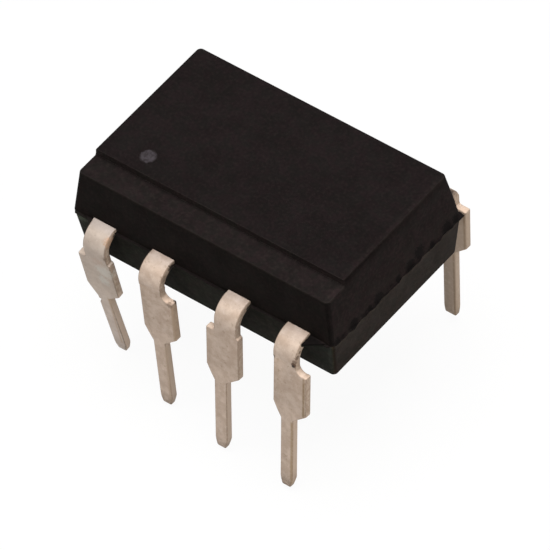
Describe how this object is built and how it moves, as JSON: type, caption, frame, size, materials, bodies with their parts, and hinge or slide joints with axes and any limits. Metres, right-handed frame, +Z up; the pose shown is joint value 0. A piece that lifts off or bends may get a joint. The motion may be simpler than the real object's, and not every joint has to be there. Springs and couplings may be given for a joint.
{
  "type": "dual in-line integrated circuit",
  "caption": "Through-hole dual in-line package: black moulded resin body with a stepped ledge and two rows of formed tinned leads.",
  "frame": {"origin": "centre of the lead pattern on the seating plane, where the wide shoulders of the leads stop on a circuit board", "axes": "+Z up out of the top face, +X along the body from the lead 1 end to the lead 4 end, leads 1 to 4 in the row at -Y and leads 5 to 8 in the row at +Y"},
  "size_m": [0.0099, 0.0086, 0.0077],
  "materials": {
    "mould_resin": "black moulded epoxy, fine matte grain",
    "mark_ink": "mottled grey print",
    "tinned_lead": "matte tin plate with fine grain",
    "silver_adhesive": "silver-filled adhesive",
    "silicon": "polished silicon",
    "gold_wire": "bright gold"
  },
  "bodies": {
    "root": {"body": "mould_resin", "pin_one_mark": "mark_ink", "lead_1": "tinned_lead", "lead_2": "tinned_lead", "lead_3": "tinned_lead", "lead_4": "tinned_lead", "lead_5": "tinned_lead", "lead_6": "tinned_lead", "lead_7": "tinned_lead", "lead_8": "tinned_lead", "die_attach": "silver_adhesive", "die": "silicon", "bond_wire_1": "gold_wire", "bond_wire_2": "gold_wire", "bond_wire_3": "gold_wire", "bond_wire_4": "gold_wire", "bond_wire_5": "gold_wire", "bond_wire_6": "gold_wire", "bond_wire_7": "gold_wire", "bond_wire_8": "gold_wire"}
  },
  "joints": []
}
